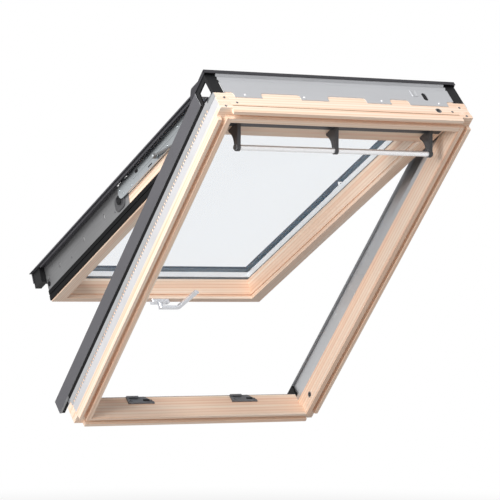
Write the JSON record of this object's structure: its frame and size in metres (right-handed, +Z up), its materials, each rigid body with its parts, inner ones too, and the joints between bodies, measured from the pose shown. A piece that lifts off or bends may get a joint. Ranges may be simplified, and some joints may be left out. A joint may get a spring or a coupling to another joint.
{
  "type": "roof skylight",
  "caption": "Top-hung pine roof skylight: slanted frame with grey cladding, glazed sash on lift arms, control bar, vent flap and bottom handle.",
  "frame": {"origin": "middle of the room face of the sill's lip", "axes": "+X to the right seen from the room, +Y horizontally outward, +Z up, with the frame at a roof pitch of 45 degrees"},
  "size_m": [0.78, 1.167, 0.9464],
  "materials": {
    "pine": "clear lacquer",
    "grey_cladding": "lacquered grey",
    "black_seal": "matt",
    "black_plastic": "matt",
    "light_strip": "matt",
    "silver_aluminium": "satin",
    "steel": "zinc plated",
    "glass": "clear",
    "grey_plastic": "matt",
    "handle_metal": "satin"
  },
  "bodies": {
    "frame": {"left_jamb": "pine", "right_jamb": "pine", "head": "pine", "sill": "pine", "bolt_bushes": "steel", "left_side_strip": "light_strip", "right_side_strip": "light_strip", "left_toothed_rail": "silver_aluminium", "right_toothed_rail": "silver_aluminium", "left_side_gasket": "black_seal", "right_side_gasket": "black_seal", "left_side_cover": "grey_cladding", "right_side_cover": "grey_cladding", "left_cover_end": "black_plastic", "right_cover_end": "black_plastic", "head_sheet": "silver_aluminium", "hood": "grey_cladding", "left_hood_end": "black_plastic", "right_hood_end": "black_plastic", "sill_apron": "grey_cladding", "left_hinge_bracket": "steel", "right_hinge_bracket": "steel", "left_striker": "steel", "right_striker": "steel"},
    "arms": {"left_arm": "steel", "right_arm": "steel", "hinge_pins": "steel", "left_upper_cover": "grey_cladding", "right_upper_cover": "grey_cladding"},
    "sash": {"left_stile": "pine", "right_stile": "pine", "bottom_rail": "pine", "top_rail": "pine", "glazing_seal": "black_seal", "inner_pane": "glass", "spacer": "silver_aluminium", "outer_pane": "glass", "bottom_cover": "grey_cladding", "top_cover": "grey_cladding", "left_lower_cover": "grey_cladding", "right_lower_cover": "grey_cladding", "left_side_plate": "steel", "right_side_plate": "steel", "left_sash_gasket": "black_seal", "right_sash_gasket": "black_seal", "left_end_cap": "black_plastic", "right_end_cap": "black_plastic", "cleaning_bolt": "steel", "handle_base": "handle_metal"},
    "bar": {"control_bar": "silver_aluminium", "bar_brackets": "grey_plastic", "vent_flap": "grey_plastic"},
    "handle": {"handle": "handle_metal"},
    "lock": {"lock_rod": "steel"},
    "strut_tubes": {"left_strut_tube": "steel", "right_strut_tube": "steel"},
    "strut_rods": {"left_strut_rod": "steel", "right_strut_rod": "steel"}
  },
  "joints": [
    {"name": "lift", "type": "hinge", "parent": "frame", "child": "arms", "pos_m": [0, -0.72903, 0.89025], "axis": [1, 0, 0], "range_deg": [-20, 25]},
    {"name": "pivot", "type": "hinge", "parent": "arms", "child": "sash", "pos_m": [0, -0.22041, 0.67956], "axis": [1, 0, 0], "range_deg": [0, 160]},
    {"name": "handle_turn", "type": "hinge", "parent": "sash", "child": "handle", "pos_m": [0, 0.23169, 0.34295], "axis": [0, -0.4226, -0.9063], "range_deg": [0, 90]},
    {"name": "lock_slide", "type": "slide", "parent": "sash", "child": "lock", "axis": [1, 0, 0], "range_m": [-0.0225, 0.0005]},
    {"name": "bar_turn", "type": "hinge", "parent": "sash", "child": "bar", "pos_m": [0, -0.75142, 0.80911], "axis": [-1, 0, 0], "range_deg": [0, 25]},
    {"name": "strut_swing", "type": "hinge", "parent": "frame", "child": "strut_tubes", "pos_m": [0, -0.66892, 0.79479], "axis": [1, 0, 0], "range_deg": [-26, 32.5]},
    {"name": "strut_slide", "type": "slide", "parent": "strut_tubes", "child": "strut_rods", "axis": [0, 0.9757, -0.2192], "range_m": [-0.0285, 0.0355]}
  ],
  "couplings": [
    {"joint": "lock_slide", "follows": "handle_turn", "m_per_rad": -0.014006},
    {"joint": "strut_swing", "follows": "lift", "ratio": 1.273},
    {"joint": "strut_slide", "follows": "lift", "m_per_rad": 0.0791}
  ]
}
